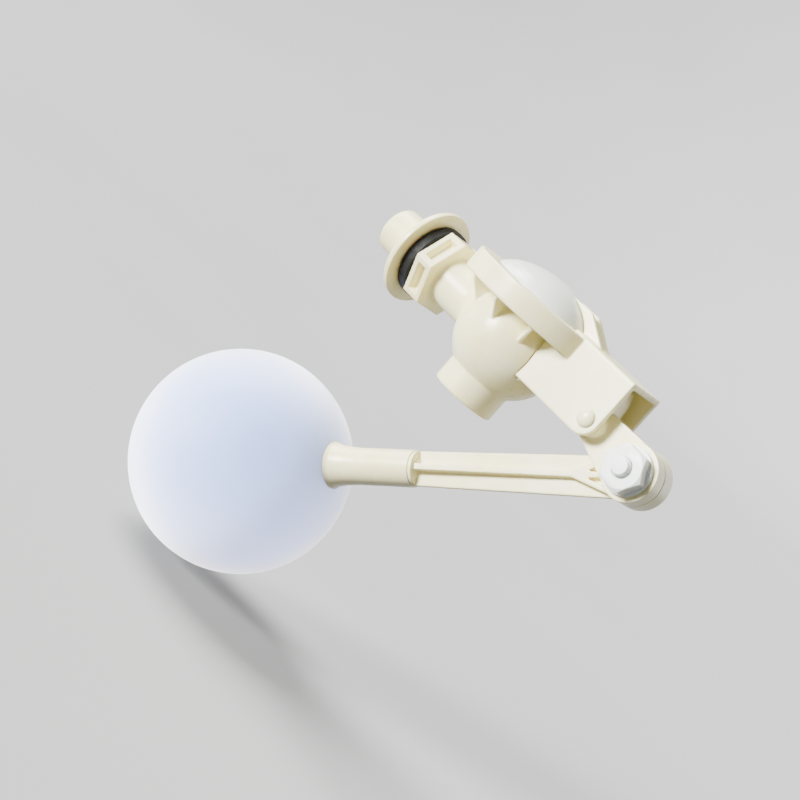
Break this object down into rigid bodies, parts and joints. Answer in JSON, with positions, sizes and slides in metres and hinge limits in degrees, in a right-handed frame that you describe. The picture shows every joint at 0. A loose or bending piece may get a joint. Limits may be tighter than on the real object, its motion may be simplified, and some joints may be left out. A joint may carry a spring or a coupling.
{
  "type": "float valve",
  "caption": "Plastic tank float valve: diaphragm body with flanged inlet and downward spout, pilot lever on a channel bracket, and a hollow ball on a clamped arm.",
  "frame": {"origin": "on the inlet axis, at the hexagon's wall face, where the tank wall seats", "axes": "+X along the inlet axis from the tank wall into the tank, +Z towards the dome, away from the outlet spout, Y along the lever's pivot pin"},
  "size_m": [0.2024, 0.0948, 0.1953],
  "materials": {
    "cream_plastic": "satin moulded, ivory",
    "dome_plastic": "smooth, slightly cooler white",
    "ball_plastic": "smooth translucent white",
    "white_plastic": "satin moulded, white",
    "black_rubber": "matt black rubber"
  },
  "bodies": {
    "valve": {"inlet_neck": "cream_plastic", "valve_bowl": "cream_plastic", "body_rim": "cream_plastic", "seat_tube": "cream_plastic", "outlet_spout": "cream_plastic", "seat_ring": "white_plastic", "diaphragm_membrane": "black_rubber", "dome_cap": "dome_plastic", "cover_bracket": "cream_plastic", "pilot_nozzle": "white_plastic", "pivot_pin": "cream_plastic", "pin_retainer": "cream_plastic"},
    "connector": {"inlet_connector": "cream_plastic", "flange_gasket": "black_rubber", "inlet_strainer": "cream_plastic"},
    "diaphragm": {"main_seal_pad": "black_rubber", "diaphragm_disc": "cream_plastic"},
    "lever": {"lever": "cream_plastic", "pilot_pad": "black_rubber"},
    "arm": {"float_arm": "cream_plastic", "ball_socket": "cream_plastic", "float_ball": "ball_plastic"},
    "bolt": {"clamp_bolt": "white_plastic"},
    "nut": {"clamp_nut": "white_plastic"}
  },
  "joints": [
    {"name": "connector_unscrew", "type": "slide", "parent": "valve", "child": "connector", "axis": [-1, 0, 0], "range_m": [0, 0.012]},
    {"name": "diaphragm_lift", "type": "slide", "parent": "valve", "child": "diaphragm", "axis": [0, 0, 1], "range_m": [0, 0.004]},
    {"name": "lever_swing", "type": "hinge", "parent": "valve", "child": "lever", "pos_m": [0.1047, 0, -0.00025], "axis": [0, 1, 0], "range_deg": [0, 12]},
    {"name": "arm_angle", "type": "hinge", "parent": "lever", "child": "arm", "pos_m": [0.1302, 0, -0.004], "axis": [0, 1, 0], "range_deg": [-125, 0]},
    {"name": "bolt_withdraw", "type": "slide", "parent": "arm", "child": "bolt", "axis": [0, 1, 0], "range_m": [0, 0.03]},
    {"name": "nut_unscrew", "type": "slide", "parent": "lever", "child": "nut", "axis": [0, -1, 0], "range_m": [0, 0.016]}
  ],
  "couplings": [
    {"joint": "diaphragm_lift", "follows": "lever_swing", "m_per_rad": 0.019}
  ]
}
